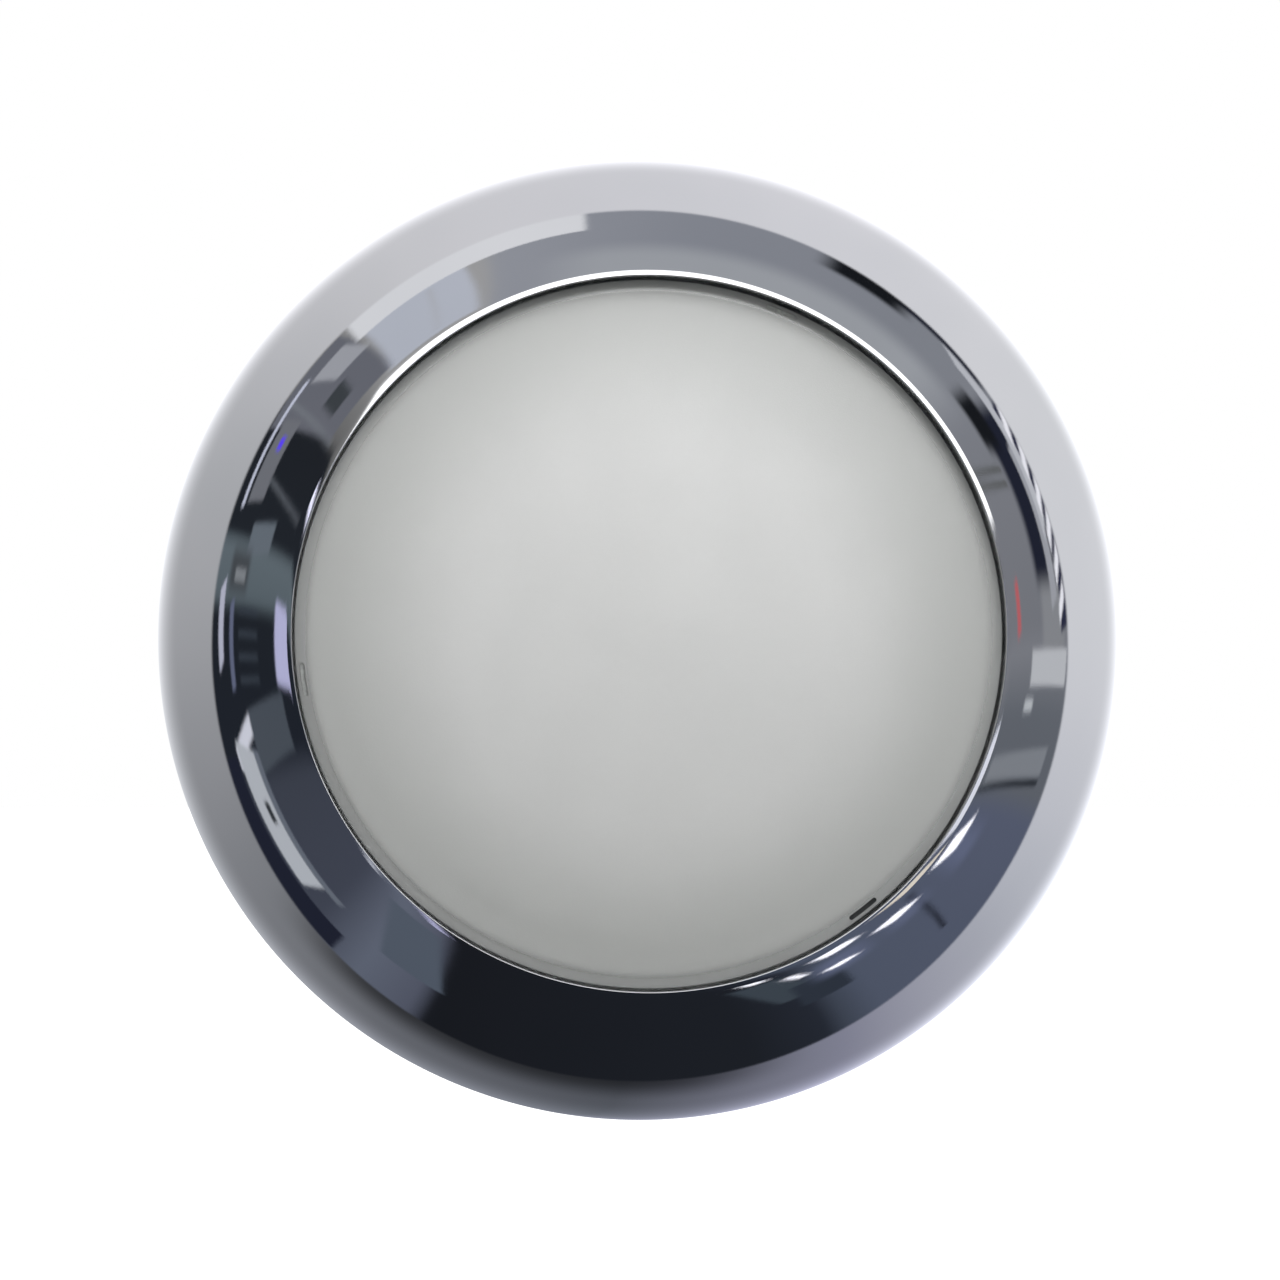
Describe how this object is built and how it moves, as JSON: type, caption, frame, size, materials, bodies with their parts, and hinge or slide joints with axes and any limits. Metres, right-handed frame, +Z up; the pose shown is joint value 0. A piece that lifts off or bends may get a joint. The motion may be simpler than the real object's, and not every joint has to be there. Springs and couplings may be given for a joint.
{
  "type": "underwater pool light",
  "caption": "Round surface-mounted underwater light: domed chrome trim ring, frosted lens, sealed head with LED board and driver, twist-on wall bracket and cable gland.",
  "frame": {"origin": "centre of the bracket's screw circle, on the pool wall's surface", "axes": "+Y goes into the wall along the optical axis, the face looks along -Y, +Z is up, +X is to the right seen from the front"},
  "size_m": [0.27, 0.0545, 0.27],
  "materials": {
    "bracket_plastic": "matte",
    "housing_plastic": "satin",
    "gland_nylon": "satin",
    "seal_rubber": "matte",
    "slip_washer": "satin",
    "frosted_lens": "frosted",
    "key_rubber": "matte",
    "clamp_plastic": "satin",
    "stainless": "satin",
    "brass_inserts": "satin",
    "spreader_aluminium": "satin",
    "thermal_silicone": "matte",
    "white_board": "satin",
    "led_phosphor": "gloss",
    "reflector_white": "gloss",
    "opal_plastic": "satin",
    "circuit_board": "satin",
    "standoff_nylon": "satin",
    "ferrite": "matte",
    "copper_wire": "gloss",
    "capacitor_sleeve": "gloss",
    "black_resin": "satin",
    "terminal_green": "satin",
    "lead_red": "satin",
    "lead_black": "satin",
    "plug_white": "satin",
    "absorber_paper": "matte",
    "chrome_plating": "polished",
    "spring_steel": "satin"
  },
  "bodies": {
    "bracket": {"wall_bracket": "bracket_plastic"},
    "light_head": {"light_body": "housing_plastic", "gland_body": "gland_nylon", "gland_flange_seal": "seal_rubber", "gland_seal": "seal_rubber", "gland_washer": "slip_washer", "gland_nut": "gland_nylon", "gland_locknut": "gland_nylon", "lens": "frosted_lens", "lens_keys": "key_rubber", "lens_seal": "seal_rubber", "lens_clamp": "clamp_plastic", "clamp_screws": "stainless", "clamp_inserts": "brass_inserts", "heat_spreader": "spreader_aluminium", "spreader_screws": "stainless", "thermal_pad": "thermal_silicone", "led_board": "white_board", "led_board_screws": "stainless", "led_packages": "led_phosphor", "reflector": "reflector_white", "diffuser": "opal_plastic", "driver_board": "circuit_board", "driver_standoffs": "standoff_nylon", "driver_screws": "stainless", "choke_core": "ferrite", "choke_winding": "copper_wire", "capacitors": "capacitor_sleeve", "rectifier": "black_resin", "driver_transistor": "black_resin", "terminal_block": "terminal_green", "terminal_screws": "stainless", "led_lead_red": "lead_red", "led_lead_black": "lead_black", "lead_grommet": "seal_rubber", "led_plug": "plug_white", "led_socket": "plug_white", "moisture_pack": "absorber_paper"},
    "trim": {"trim_ring": "chrome_plating", "trim_clips": "spring_steel", "clip_screws": "stainless"}
  },
  "joints": [
    {"name": "head_twist", "type": "hinge", "parent": "bracket", "child": "light_head", "pos_m": [0, 0, 0], "axis": [0, -1, 0], "range_deg": [0, 25]},
    {"name": "trim_ring_pull", "type": "slide", "parent": "light_head", "child": "trim", "axis": [0, -1, 0], "range_m": [0, 0.06], "deforming": ["trim_clips"]}
  ]
}
